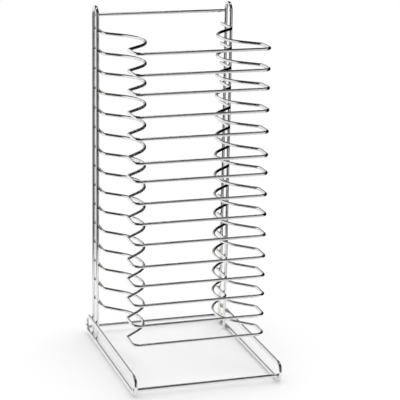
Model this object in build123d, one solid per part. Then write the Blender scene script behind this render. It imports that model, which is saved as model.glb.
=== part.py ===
"""Sheet pan rack: fifteen bent-wire shelves welded to two narrow hairpin uprights.

The uprights stand on two flat wire loops that lie front to back as runners.  Two cross
rods tie the runners and one ties the uprights below their bends.  Everything is round
steel wire, welded where it touches, so nothing moves.

Frame: X is the width, left is -X.  Y is the depth, +Y is the back, and the rear legs of
the uprights stand at Y = 0.  Z is up, and the runners rest on Z = 0.
"""
import os

from build123d import *

# ---- wire sizes (mm) ----
UPRIGHT_WIRE = 6.0           # hairpin uprights
RUNNER_WIRE = 6.0            # base loops
BASE_ROD_WIRE = 6.0          # cross rods of the base
SHELF_WIRE = 5.0             # shelves
TOP_ROD_WIRE = 5.0           # cross rod between the uprights

# ---- uprights ----
RACK_HEIGHT = 603.0          # floor to the top of the hairpin bends
UPRIGHT_SPACING = 240.0      # centre to centre, left upright to right upright
LEG_SPACING = 28.0           # centre to centre, rear leg to front leg
LEG_END_HEIGHT = 1.5         # underside of the legs above the floor

# ---- shelves ----
SHELF_COUNT = 15
SHELF_PITCH = 35.0           # height from one shelf to the next
FIRST_SHELF_HEIGHT = 70.5    # centre of the lowest shelf wire, at the uprights
STUB_LENGTH = 9.0            # wire end that stands out behind the rear leg's centre
WAIST_DEPTH = 129.5          # middle of the waist, forward of the rear leg
WAIST_RADIUS = 77.0          # curve of the waist, on the wire's centre line
WAIST_HALF_GAP = 66.5        # from the rack's middle to the waist's innermost point
ARM_ANGLE = 45.0             # turn of the wire out of its side run into the waist
REAR_BEND_RADIUS = 12.0      # bend in front of the front leg
OUTER_BEND_RADIUS = 9.0      # bend at the front end of the waist
FRONT_BEND_RADIUS = 13.0     # front corners
SHELF_DEPTH = 253.5          # front bar's centre, forward of the rear leg
# how far each front bar stands above its uprights' weld, lowest shelf first:
# the shelves are set by hand in the welding jig and none is quite level
FRONT_RISE = [0, -1, -0.5, -1.5, -3, -0.5, 0, -0.5, 1.5, -3, 2, 3, 5, 1.5, 1]

# ---- base ----
RUNNER_HEIGHT = 36.0         # overall height of a runner loop
RUNNER_FRONT = 312.0         # front of the runners, forward of the rear leg
RUNNER_BACK = 26.0           # back of the runners, behind the rear leg
ROD_SEAT_ANGLE = 45.0        # where the rods lie in the loops' bends, from straight down

# ---- top cross rod ----
TOP_ROD_HEIGHT = 584.5

# ---- places that follow from the sizes above ----
upright_x = UPRIGHT_SPACING / 2
runner_x = upright_x + (UPRIGHT_WIRE + RUNNER_WIRE) / 2
shelf_x = upright_x - (UPRIGHT_WIRE + SHELF_WIRE) / 2
leg_inner_x = upright_x - UPRIGHT_WIRE / 2
runner_outer_x = runner_x + RUNNER_WIRE / 2
weld_line_y = -LEG_SPACING / 2


def bent_wire_path(points):
    """A centre line of straight runs joined by tangent arcs.

    points is a list of (corner, bend radius); the two ends have no bend.
    """
    corners = [Vector(*corner) for corner, _ in points]
    radii = [radius for _, radius in points]
    edges = []
    run_start = corners[0]
    for i in range(1, len(corners) - 1):
        to_previous = (corners[i - 1] - corners[i]).normalized()
        to_next = (corners[i + 1] - corners[i]).normalized()
        half_angle = to_previous.get_angle(to_next) / 2
        setback = radii[i] / tan_degrees(half_angle)
        bend_start = corners[i] + to_previous * setback
        bend_end = corners[i] + to_next * setback
        to_centre = (to_previous + to_next).normalized()
        centre_distance = (setback**2 + radii[i]**2) ** 0.5
        bend_middle = corners[i] + to_centre * (centre_distance - radii[i])
        edges.append(Line(run_start, bend_start))
        edges.append(ThreePointArc(bend_start, bend_middle, bend_end))
        run_start = bend_end
    edges.append(Line(run_start, corners[-1]))
    return Wire(edges)


def tan_degrees(angle):
    """Tangent of an angle in degrees."""
    side = Vector(1, 0).rotate(Axis.Z, angle)
    return side.Y / side.X


def round_wire(path, diameter):
    """Round wire bent along a centre line, its ends cut square."""
    section = Plane(origin=path @ 0, z_dir=path % 0) * Circle(diameter / 2)
    return sweep(section, path=path)


def make_upright(side):
    """One hairpin: two legs in line front to back, joined by a half-round bend on top."""
    x = side * upright_x
    top = RACK_HEIGHT - UPRIGHT_WIRE / 2
    bend = LEG_SPACING / 2
    front_y = -LEG_SPACING
    legs = [
        Line((x, 0, LEG_END_HEIGHT), (x, 0, top - bend)),
        ThreePointArc((x, 0, top - bend), (x, weld_line_y, top), (x, front_y, top - bend)),
        Line((x, front_y, top - bend), (x, front_y, LEG_END_HEIGHT)),
    ]
    return round_wire(Wire(legs), UPRIGHT_WIRE)


def make_runner(side):
    """One base loop on edge: an upper and a lower rod with half-round ends."""
    x = side * runner_x
    low = RUNNER_WIRE / 2
    high = RUNNER_HEIGHT - RUNNER_WIRE / 2
    middle = RUNNER_HEIGHT / 2
    front = -RUNNER_FRONT + RUNNER_WIRE / 2
    back = RUNNER_BACK - RUNNER_WIRE / 2
    bend = (high - low) / 2
    loop = [
        Line((x, back - bend, low), (x, front + bend, low)),
        ThreePointArc((x, front + bend, low), (x, front, middle), (x, front + bend, high)),
        Line((x, front + bend, high), (x, back - bend, high)),
        ThreePointArc((x, back - bend, high), (x, back, middle), (x, back - bend, low)),
    ]
    return round_wire(Wire(loop), RUNNER_WIRE)


def make_base_rod(end_y, toward):
    """A cross rod lying in the bends of both runners, its ends flush with their outsides.

    end_y is the bends' outer face, and toward is the direction from their middle to it.
    """
    bend_centre = Vector(0, end_y - toward * RUNNER_HEIGHT / 2, RUNNER_HEIGHT / 2)
    seat_radius = RUNNER_HEIGHT / 2 - RUNNER_WIRE - BASE_ROD_WIRE / 2
    seat = Vector(0, 0, -seat_radius).rotate(Axis.X, toward * ROD_SEAT_ANGLE)
    centre = bend_centre + seat
    left_end = centre + Vector(-runner_outer_x, 0, 0)
    right_end = centre + Vector(runner_outer_x, 0, 0)
    return round_wire(Wire([Line(left_end, right_end)]), BASE_ROD_WIRE)


def make_top_rod():
    """The thin rod butted between the rear legs."""
    left_end = (-leg_inner_x, 0, TOP_ROD_HEIGHT)
    right_end = (leg_inner_x, 0, TOP_ROD_HEIGHT)
    return round_wire(Wire([Line(left_end, right_end)]), TOP_ROD_WIRE)


def make_shelf(level):
    """One shelf: a single wire from the left stub, round the front, to the right stub.

    Seen from above, each side runs along the inside of both legs, bends into a waist that
    a pan's rim rests on, comes out again, and turns the front corner into the front bar.
    """
    waist_centre_x = WAIST_HALF_GAP + WAIST_RADIUS
    arm_run = WAIST_RADIUS * (1 - cos_degrees(ARM_ANGLE))
    arm_x = WAIST_HALF_GAP + arm_run
    arm_slope = tan_degrees(ARM_ANGLE)
    arm_y = (waist_centre_x - arm_x) * arm_slope
    bend_y = arm_y + (shelf_x - arm_x) / arm_slope
    waist_vertex_x = arm_x - arm_y * arm_slope
    height = FIRST_SHELF_HEIGHT + level * SHELF_PITCH
    right = [
        ((shelf_x, STUB_LENGTH, height), 0),
        ((shelf_x, -WAIST_DEPTH + bend_y, height), REAR_BEND_RADIUS),
        ((waist_vertex_x, -WAIST_DEPTH, height), WAIST_RADIUS),
        ((shelf_x, -WAIST_DEPTH - bend_y, height), OUTER_BEND_RADIUS),
        ((shelf_x, -SHELF_DEPTH, height), FRONT_BEND_RADIUS),
    ]
    left = [((-x, y, z), radius) for (x, y, z), radius in reversed(right)]
    wire = round_wire(bent_wire_path(right + left), SHELF_WIRE)
    reach = SHELF_DEPTH + weld_line_y
    tilt = Vector(0, -reach, FRONT_RISE[level]).get_angle(Vector(0, -1, 0))
    direction = -1 if FRONT_RISE[level] > 0 else 1
    weld_line = Axis((0, weld_line_y, height), (1, 0, 0))
    return wire.rotate(weld_line, direction * tilt)


def cos_degrees(angle):
    """Cosine of an angle in degrees."""
    return Vector(1, 0).rotate(Axis.Z, angle).X


def main():
    nodes = {
        "upright_left": make_upright(-1),
        "upright_right": make_upright(1),
        "top_cross_rod": make_top_rod(),
        "base_runner_left": make_runner(-1),
        "base_runner_right": make_runner(1),
        "front_base_rod": make_base_rod(-RUNNER_FRONT, -1),
        "rear_base_rod": make_base_rod(RUNNER_BACK, 1),
    }
    for level in range(SHELF_COUNT):
        nodes[f"shelf_{level + 1:02d}"] = make_shelf(level)

    os.makedirs("parts", exist_ok=True)
    for name, solid in nodes.items():
        export_step(solid, f"parts/{name}.step")


main()
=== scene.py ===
"""Looks of the sheet pan rack: bright chrome on welded steel wire, in a white studio."""
import math

import bpy
from mathutils import Matrix, Vector


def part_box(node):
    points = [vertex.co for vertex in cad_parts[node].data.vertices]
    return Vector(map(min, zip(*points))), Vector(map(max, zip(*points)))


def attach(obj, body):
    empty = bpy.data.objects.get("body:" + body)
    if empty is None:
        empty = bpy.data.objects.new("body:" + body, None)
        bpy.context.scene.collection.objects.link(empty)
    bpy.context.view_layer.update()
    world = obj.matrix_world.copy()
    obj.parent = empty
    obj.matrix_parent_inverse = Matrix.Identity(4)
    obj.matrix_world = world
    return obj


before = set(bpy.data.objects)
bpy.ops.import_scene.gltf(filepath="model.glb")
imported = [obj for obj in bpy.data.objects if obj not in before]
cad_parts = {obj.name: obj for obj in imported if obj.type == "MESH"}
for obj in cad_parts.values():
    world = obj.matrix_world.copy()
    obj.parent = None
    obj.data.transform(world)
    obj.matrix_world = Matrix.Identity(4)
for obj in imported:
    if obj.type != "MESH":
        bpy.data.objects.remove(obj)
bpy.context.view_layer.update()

# ---------------------------------------------------------------------------------------
# Uprights.  Two hairpins of round steel wire, bent over a former.  The rack is welded up
# bare and then chromed, so all wires share one plate: bright, with fine lines from wire
# drawing under it, specks of dust, and a warm haze near the welds.
# ---------------------------------------------------------------------------------------
UPRIGHTS = ("upright_left", "upright_right")
PLATE_DARKER_TONE = (0.80, 0.80, 0.81, 1)
PLATE_LIGHTER_TONE = (0.88, 0.88, 0.87, 1)
WELD_HAZE_TONE = (0.72, 0.68, 0.62, 1)
DUST_TONE = (0.62, 0.62, 0.6, 1)
RIPPLE_SCALE = 160.0
TONE_PATCH_SCALE = 14.0
DUST_SPECK_SCALE = 620.0
DUST_SPECK_EDGE = (0.68, 0.8)
POLISH_ROUGHNESS = (0.02, 0.06)
DUST_ROUGHNESS = 0.5
HAZE_ROUGHNESS = 0.25
DRAW_LINE_SHARE = 0.35
PLATE_RELIEF_DEPTH = 0.00003

upright_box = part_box("upright_right")
upright_x = (upright_box[0][0] + upright_box[1][0]) / 2
frame_wire = upright_box[1][0] - upright_box[0][0]
leg_spacing = upright_box[1][1] - upright_box[0][1] - frame_wire
haze_starts_x = upright_x - 2.2 * frame_wire
haze_full_x = upright_x - frame_wire


def plating_group():
    """Shader group: colour, roughness and height of the plate at a point on the rack."""
    group = bpy.data.node_groups.new("chrome_plate_surface", "ShaderNodeTree")
    sockets = group.interface
    for name, value in (("Draw Scale", 900.0), ("Dust", 0.25), ("Haze", 0.3)):
        socket = sockets.new_socket(name, in_out="INPUT", socket_type="NodeSocketFloat")
        socket.default_value = value
    sockets.new_socket("Colour", in_out="OUTPUT", socket_type="NodeSocketColor")
    sockets.new_socket("Roughness", in_out="OUTPUT", socket_type="NodeSocketFloat")
    sockets.new_socket("Height", in_out="OUTPUT", socket_type="NodeSocketFloat")
    nodes = group.nodes
    links = group.links
    inputs = nodes.new("NodeGroupInput")
    outputs = nodes.new("NodeGroupOutput")
    place = nodes.new("ShaderNodeTexCoord")

    def noise(scale, detail, label):
        """A noise pattern fixed to the rack; scale is a number or a socket."""
        node = nodes.new("ShaderNodeTexNoise")
        node.label = label
        node.inputs["Detail"].default_value = detail
        if isinstance(scale, float):
            node.inputs["Scale"].default_value = scale
        else:
            links.new(scale, node.inputs["Scale"])
        links.new(place.outputs["Object"], node.inputs["Vector"])
        return node.outputs["Fac"]

    def remap(value, low, high, to_low, to_high):
        """value, taken from the range low..high to the range to_low..to_high."""
        node = nodes.new("ShaderNodeMapRange")
        node.inputs["From Min"].default_value = low
        node.inputs["From Max"].default_value = high
        node.inputs["To Min"].default_value = to_low
        node.inputs["To Max"].default_value = to_high
        links.new(value, node.inputs["Value"])
        return node.outputs["Result"]

    def combine(operation, first, second):
        """One sum on two values, each a number or a socket."""
        node = nodes.new("ShaderNodeMath")
        node.operation = operation
        for socket, value in zip(node.inputs, (first, second)):
            if isinstance(value, float):
                socket.default_value = value
            else:
                links.new(value, socket)
        return node.outputs["Value"]

    def tint(colour, other_colour, amount):
        """colour, shifted towards other_colour by a socket's amount."""
        node = nodes.new("ShaderNodeMix")
        node.data_type = "RGBA"
        if isinstance(colour, tuple):
            node.inputs["A"].default_value = colour
        else:
            links.new(colour, node.inputs["A"])
        node.inputs["B"].default_value = other_colour
        links.new(amount, node.inputs["Factor"])
        return node.outputs["Result"]

    draw_lines = noise(inputs.outputs["Draw Scale"], 2.0, "lines from wire drawing")
    ripple = noise(RIPPLE_SCALE, 3.0, "ripple of the plate")
    patches = noise(TONE_PATCH_SCALE, 2.0, "slow change of tone")
    specks = noise(DUST_SPECK_SCALE, 1.0, "dust")
    dust = combine("MULTIPLY", remap(specks, *DUST_SPECK_EDGE, 0.0, 1.0), inputs.outputs["Dust"])

    # the haze lies beside the uprights' legs, where every shelf is welded
    split = nodes.new("ShaderNodeSeparateXYZ")
    links.new(place.outputs["Object"], split.inputs["Vector"])
    sideways = combine("ABSOLUTE", split.outputs["X"], 0.0)
    beside_leg = remap(sideways, haze_starts_x, haze_full_x, 0.0, 1.0)
    from_middle = combine("ADD", split.outputs["Y"], leg_spacing / 2)
    depth = combine("ABSOLUTE", from_middle, 0.0)
    near_legs = remap(depth, leg_spacing, leg_spacing / 2, 0.0, 1.0)
    weld_zone = combine("MULTIPLY", beside_leg, near_legs)
    haze = combine("MULTIPLY", weld_zone, inputs.outputs["Haze"])

    clean = tint(PLATE_DARKER_TONE, PLATE_LIGHTER_TONE, patches)
    dusty = tint(tint(clean, WELD_HAZE_TONE, haze), DUST_TONE, dust)
    links.new(dusty, outputs.inputs["Colour"])

    polish = remap(ripple, 0.3, 0.7, *POLISH_ROUGHNESS)
    rougher = combine("ADD", polish, combine("MULTIPLY", dust, DUST_ROUGHNESS))
    hazed = combine("ADD", rougher, combine("MULTIPLY", haze, HAZE_ROUGHNESS))
    links.new(hazed, outputs.inputs["Roughness"])

    fine = combine("MULTIPLY", draw_lines, DRAW_LINE_SHARE)
    links.new(combine("ADD", fine, ripple), outputs.inputs["Height"])
    return group


plate = plating_group()


def chrome(name, draw_scale, dust, haze, bump):
    """Bright chrome for one gauge of wire."""
    material = bpy.data.materials.new(name)
    material.use_nodes = True
    nodes = material.node_tree.nodes
    links = material.node_tree.links
    shader = nodes["Principled BSDF"]
    shader.inputs["Metallic"].default_value = 1.0
    surface = nodes.new("ShaderNodeGroup")
    surface.node_tree = plate
    surface.inputs["Draw Scale"].default_value = draw_scale
    surface.inputs["Dust"].default_value = dust
    surface.inputs["Haze"].default_value = haze
    relief = nodes.new("ShaderNodeBump")
    relief.inputs["Strength"].default_value = bump
    relief.inputs["Distance"].default_value = PLATE_RELIEF_DEPTH
    links.new(surface.outputs["Colour"], shader.inputs["Base Color"])
    links.new(surface.outputs["Roughness"], shader.inputs["Roughness"])
    links.new(surface.outputs["Height"], relief.inputs["Height"])
    links.new(relief.outputs["Normal"], shader.inputs["Normal"])
    return material


def plate_node(name, material):
    """Gives a CAD node its plated finish."""
    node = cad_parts[name]
    node.data.materials.clear()
    node.data.materials.append(material)


frame_chrome = chrome("frame_wire_chrome", draw_scale=900.0, dust=0.25, haze=0.25, bump=0.12)

for name in UPRIGHTS:
    plate_node(name, frame_chrome)

# ---------------------------------------------------------------------------------------
# Base runners.  Two closed loops of the uprights' wire, set on edge, that the rack rests
# on.  Each is bent to an oblong and lies against the outsides of both legs, welded there.
# ---------------------------------------------------------------------------------------
BASE_RUNNERS = ("base_runner_left", "base_runner_right")

for name in BASE_RUNNERS:
    plate_node(name, frame_chrome)

# ---------------------------------------------------------------------------------------
# Base rods.  Two straight lengths of the same wire that tie the runners together.  They
# lie in the runners' end bends and are welded there, their ends cut flush outside.
# ---------------------------------------------------------------------------------------
BASE_RODS = ("front_base_rod", "rear_base_rod")

for name in BASE_RODS:
    plate_node(name, frame_chrome)

# ---------------------------------------------------------------------------------------
# Shelves.  Each is one length of thinner steel wire, bent to a waist at both sides and
# welded to the insides of the four legs.  Its drawing lines are finer than the frame's.
# ---------------------------------------------------------------------------------------
shelf_nodes = sorted(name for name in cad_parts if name.startswith("shelf_"))
shelf_chrome = chrome("shelf_wire_chrome", draw_scale=1300.0, dust=0.2, haze=0.35, bump=0.12)

for name in shelf_nodes:
    plate_node(name, shelf_chrome)

# ---------------------------------------------------------------------------------------
# Top cross rod.  A straight length of the shelves' wire, cut to fit between the two rear
# legs just under their bends, and welded to them at both ends.
# ---------------------------------------------------------------------------------------
plate_node("top_cross_rod", shelf_chrome)

# ---------------------------------------------------------------------------------------
# Weld nuggets.  Crossed wires were squeezed together and melted at the touch, and a little
# steel swelled out round it, under the plate.  One tree sets a low drop of steel at every
# point where a leg touches a shelf or a runner, each of a slightly different size.
# ---------------------------------------------------------------------------------------
NUGGET_WIDTH = 0.0016        # half the drop's size along the rack's width
NUGGET_SPREAD = 0.0027       # half its size along the wires
NUGGET_SEED = 7
SHELF_PITCH = 0.035          # from one shelf's welds up to the next shelf's

runner_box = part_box("base_runner_right")
rail_heights = (runner_box[0][2] + frame_wire / 2, runner_box[1][2] - frame_wire / 2)
rear_leg_y = upright_box[1][1] - frame_wire / 2
front_leg_y = rear_leg_y - leg_spacing
lowest_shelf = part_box(shelf_nodes[0])
lowest_weld_z = (lowest_shelf[0][2] + lowest_shelf[1][2]) / 2


def weld_points():
    """Each point where a leg touches a shelf or a runner."""
    points = []
    for side in (-1, 1):
        for leg_y in (rear_leg_y, front_leg_y):
            for level in range(len(shelf_nodes)):
                height = lowest_weld_z + level * SHELF_PITCH
                points.append((side * (upright_x - frame_wire / 2), leg_y, height))
            for rail_z in rail_heights:
                points.append((side * (upright_x + frame_wire / 2), leg_y, rail_z))
    return points


def nugget_tree(material):
    """Geometry Nodes tree: a squashed drop on each point, flat along the rack's width."""
    tree = bpy.data.node_groups.new("weld_nuggets", "GeometryNodeTree")
    sockets = tree.interface
    sockets.new_socket("Geometry", in_out="INPUT", socket_type="NodeSocketGeometry")
    for name, value in (("Width", NUGGET_WIDTH), ("Spread", NUGGET_SPREAD)):
        socket = sockets.new_socket(name, in_out="INPUT", socket_type="NodeSocketFloat")
        socket.default_value = value
    seed = sockets.new_socket("Seed", in_out="INPUT", socket_type="NodeSocketInt")
    seed.default_value = NUGGET_SEED
    sockets.new_socket("Geometry", in_out="OUTPUT", socket_type="NodeSocketGeometry")
    nodes = tree.nodes
    links = tree.links
    inputs = nodes.new("NodeGroupInput")
    outputs = nodes.new("NodeGroupOutput")
    drop = nodes.new("GeometryNodeMeshIcoSphere")
    drop.inputs["Radius"].default_value = 1.0
    drop.inputs["Subdivisions"].default_value = 3
    smooth = nodes.new("GeometryNodeSetShadeSmooth")
    links.new(drop.outputs["Mesh"], smooth.inputs["Geometry"])
    size = nodes.new("ShaderNodeCombineXYZ")
    links.new(inputs.outputs["Width"], size.inputs["X"])
    links.new(inputs.outputs["Spread"], size.inputs["Y"])
    links.new(inputs.outputs["Spread"], size.inputs["Z"])
    vary = nodes.new("FunctionNodeRandomValue")
    vary.data_type = "FLOAT_VECTOR"
    vary.inputs["Min"].default_value = (0.85, 0.8, 0.8)
    vary.inputs["Max"].default_value = (1.0, 1.1, 1.1)
    links.new(inputs.outputs["Seed"], vary.inputs["Seed"])
    scaled = nodes.new("ShaderNodeVectorMath")
    scaled.operation = "MULTIPLY"
    links.new(size.outputs["Vector"], scaled.inputs[0])
    links.new(vary.outputs["Value"], scaled.inputs[1])
    place = nodes.new("GeometryNodeInstanceOnPoints")
    links.new(inputs.outputs["Geometry"], place.inputs["Points"])
    links.new(smooth.outputs["Geometry"], place.inputs["Instance"])
    links.new(scaled.outputs["Vector"], place.inputs["Scale"])
    real = nodes.new("GeometryNodeRealizeInstances")
    links.new(place.outputs["Instances"], real.inputs["Geometry"])
    plated = nodes.new("GeometryNodeSetMaterial")
    plated.inputs["Material"].default_value = material
    links.new(real.outputs["Geometry"], plated.inputs["Geometry"])
    links.new(plated.outputs["Geometry"], outputs.inputs["Geometry"])
    return tree


def grow(name, points, tree, settings):
    """Runs a tree on bare points and returns its result as a plain mesh object."""
    seeds = bpy.data.meshes.new(name + "_points")
    seeds.from_pydata(points, [], [])
    carrier = bpy.data.objects.new(name + "_points", seeds)
    bpy.context.collection.objects.link(carrier)
    modifier = carrier.modifiers.new("grow", "NODES")
    modifier.node_group = tree
    for item in tree.interface.items_tree:
        if item.item_type == "SOCKET" and item.in_out == "INPUT" and item.name in settings:
            modifier[item.identifier] = settings[item.name]
    evaluated = carrier.evaluated_get(bpy.context.evaluated_depsgraph_get())
    mesh = bpy.data.meshes.new_from_object(evaluated)
    mesh.name = name
    bpy.data.objects.remove(carrier)
    piece = bpy.data.objects.new(name, mesh)
    bpy.context.collection.objects.link(piece)
    return piece


weld_chrome = chrome("weld_chrome", draw_scale=700.0, dust=0.4, haze=0.5, bump=0.8)
weld_settings = {"Width": NUGGET_WIDTH, "Spread": NUGGET_SPREAD, "Seed": NUGGET_SEED}
welds = grow("weld_nuggets", weld_points(), nugget_tree(weld_chrome), weld_settings)
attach(welds, "root")

# ---------------------------------------------------------------------------------------
# Table.  A round top of matt white laminate that the rack stands on.  The metal sees only
# the table's middle, so that dark cloths can show in the wires down to near the base.
# ---------------------------------------------------------------------------------------
TABLE_RADIUS = 1.1
TABLE_CENTRE_Y = -0.14
TABLE_HEIGHT = -0.0004       # just under the runners, which stand on zero
MIRRORED_TABLE_RADIUS = 0.45
TABLE_EDGE_STEPS = 96
LAMINATE_WHITE = (0.99, 0.99, 0.99, 1)


def white_table_material():
    """Matt white laminate."""
    material = bpy.data.materials.new("white_table")
    material.use_nodes = True
    shader = material.node_tree.nodes["Principled BSDF"]
    shader.inputs["Base Color"].default_value = LAMINATE_WHITE
    shader.inputs["Roughness"].default_value = 0.9
    shader.inputs["Specular IOR Level"].default_value = 0.0
    return material


def table_circle(radius):
    """Points round the table top at one distance from its centre."""
    turns = [2 * math.pi * i / TABLE_EDGE_STEPS for i in range(TABLE_EDGE_STEPS)]
    return [(radius * math.cos(turn), TABLE_CENTRE_Y + radius * math.sin(turn), TABLE_HEIGHT)
            for turn in turns]


def table_piece(name, points, faces, material):
    """One flat piece of the table top."""
    mesh = bpy.data.meshes.new(name)
    mesh.from_pydata(points, [], faces)
    mesh.materials.append(material)
    piece = bpy.data.objects.new(name, mesh)
    bpy.context.collection.objects.link(piece)
    return piece


laminate = white_table_material()
middle_face = list(range(TABLE_EDGE_STEPS))
table_piece("table_middle", table_circle(MIRRORED_TABLE_RADIUS), [middle_face], laminate)
margin_faces = []
for i in range(TABLE_EDGE_STEPS):
    following = (i + 1) % TABLE_EDGE_STEPS
    margin_faces.append((i, following, TABLE_EDGE_STEPS + following, TABLE_EDGE_STEPS + i))
margin_points = table_circle(TABLE_RADIUS) + table_circle(MIRRORED_TABLE_RADIUS)
margin = table_piece("table_margin", margin_points, margin_faces, laminate)
margin.visible_glossy = False

# ---------------------------------------------------------------------------------------
# Cloths and screens.  A round of cloth that only the metal shows: white from the left to the
# back, grey behind to the right, pale in front to the right, and dark elsewhere and
# overhead, which draws the dark lines along the wires.
# ---------------------------------------------------------------------------------------
CLOTH_DISTANCE = 7.0
# degrees round from straight behind the rack towards its right, and the cloth's brightness
SCREENS = ((-104, 0.0), (-92, 1.0), (-8, 1.0), (6, 0.34), (18, 0.26), (28, 0.0),
           (105, 0.0), (130, 0.7), (158, 0.75), (163, 0.35), (168, 0.04))
BEHIND_CAMERA_LEVEL = 0.05
OVERHEAD_LEVEL = 0.03
OVERHEAD_STARTS = 0.50 * CLOTH_DISTANCE
OVERHEAD_FULL = 0.62 * CLOTH_DISTANCE


def grey(level):
    """An opaque grey of one brightness."""
    return (level, level, level, 1)


def cloth_material():
    """Cloth that glows by itself, its brightness set by its direction from the rack."""
    material = bpy.data.materials.new("cloths_and_screens")
    material.use_nodes = True
    nodes = material.node_tree.nodes
    links = material.node_tree.links
    nodes.remove(nodes["Principled BSDF"])
    glow = nodes.new("ShaderNodeEmission")
    place = nodes.new("ShaderNodeTexCoord")
    split = nodes.new("ShaderNodeSeparateXYZ")
    links.new(place.outputs["Object"], split.inputs["Vector"])
    azimuth = nodes.new("ShaderNodeMath")
    azimuth.operation = "ARCTAN2"
    links.new(split.outputs["X"], azimuth.inputs[0])
    links.new(split.outputs["Y"], azimuth.inputs[1])
    turn = nodes.new("ShaderNodeMapRange")
    turn.inputs["From Min"].default_value = -math.pi
    turn.inputs["From Max"].default_value = math.pi
    links.new(azimuth.outputs["Value"], turn.inputs["Value"])
    round_room = nodes.new("ShaderNodeValToRGB")
    ramp = round_room.color_ramp
    for end in ramp.elements:
        end.color = grey(BEHIND_CAMERA_LEVEL)
    for degrees, level in SCREENS:
        stop = ramp.elements.new((degrees + 180) / 360)
        stop.color = grey(level)
    links.new(turn.outputs["Result"], round_room.inputs["Fac"])
    ceiling = nodes.new("ShaderNodeMapRange")
    ceiling.interpolation_type = "SMOOTHSTEP"
    ceiling.inputs["From Min"].default_value = OVERHEAD_STARTS
    ceiling.inputs["From Max"].default_value = OVERHEAD_FULL
    links.new(split.outputs["Z"], ceiling.inputs["Value"])
    room = nodes.new("ShaderNodeMix")
    room.data_type = "RGBA"
    room.inputs["B"].default_value = grey(OVERHEAD_LEVEL)
    links.new(ceiling.outputs["Result"], room.inputs["Factor"])
    links.new(round_room.outputs["Color"], room.inputs["A"])
    links.new(room.outputs["Result"], glow.inputs["Color"])
    links.new(glow.outputs["Emission"], nodes["Material Output"].inputs["Surface"])
    return material


bpy.ops.mesh.primitive_uv_sphere_add(segments=180, ring_count=90, radius=CLOTH_DISTANCE,
                                     location=(0, 0, 0))
cloths = bpy.context.object
cloths.name = "studio_cloths"
cloths.visible_camera = False
cloths.visible_diffuse = False
cloths.visible_transmission = False
cloths.visible_volume_scatter = False
cloths.visible_shadow = False
cloths.data.materials.append(cloth_material())

# ---------------------------------------------------------------------------------------
# Tent and softbox.  An even white tent lights everything from all round, and one square
# softbox hangs overhead, aimed at the middle of the rack.
# ---------------------------------------------------------------------------------------
SOFTBOX_PLACE = (0.2, 0.2, 2.6)
SOFTBOX_SIDE = 0.7
SOFTBOX_POWER = 5.0
RACK_MIDDLE = (0, -0.12, 0.3)

world = bpy.data.worlds.new("white_tent")
bpy.context.scene.world = world
world.use_nodes = True
world.node_tree.nodes["Background"].inputs["Color"].default_value = (1, 1, 1, 1)

light = bpy.data.lights.new("overhead_softbox", "AREA")
light.shape = "SQUARE"
light.size = SOFTBOX_SIDE
light.energy = SOFTBOX_POWER
softbox = bpy.data.objects.new("overhead_softbox", light)
softbox.location = SOFTBOX_PLACE
to_rack = Vector(RACK_MIDDLE) - Vector(SOFTBOX_PLACE)
softbox.rotation_euler = to_rack.to_track_quat("-Z", "Y").to_euler()
bpy.context.collection.objects.link(softbox)

# ---------------------------------------------------------------------------------------
# Camera.  A long lens about three metres away, in front of the rack's left and above it.
# ---------------------------------------------------------------------------------------
CAMERA_PLACE = (-0.7976, -2.716, 1.0385)
CAMERA_YAW = 17.87
CAMERA_PITCH = 15.62
CAMERA_ROLL = 0.99
SENSOR_WIDTH = 36
LENS_PER_SENSOR_WIDTH = 4.0945
FARTHEST_SEEN = 50

camera_data = bpy.data.cameras.new("camera")
camera_data.sensor_width = SENSOR_WIDTH
camera_data.lens = SENSOR_WIDTH * LENS_PER_SENSOR_WIDTH
camera_data.clip_end = FARTHEST_SEEN
camera = bpy.data.objects.new("camera", camera_data)
bpy.context.collection.objects.link(camera)
yaw = math.radians(CAMERA_YAW)
pitch = math.radians(CAMERA_PITCH)
look = Vector((math.sin(yaw) * math.cos(pitch), math.cos(yaw) * math.cos(pitch), -math.sin(pitch)))
turn_to_look = look.to_track_quat("-Z", "Y").to_matrix().to_4x4()
camera.matrix_world = (Matrix.Translation(CAMERA_PLACE) @ turn_to_look
                       @ Matrix.Rotation(math.radians(CAMERA_ROLL), 4, "Z"))
bpy.context.scene.camera = camera
bpy.context.scene.view_settings.view_transform = "Standard"
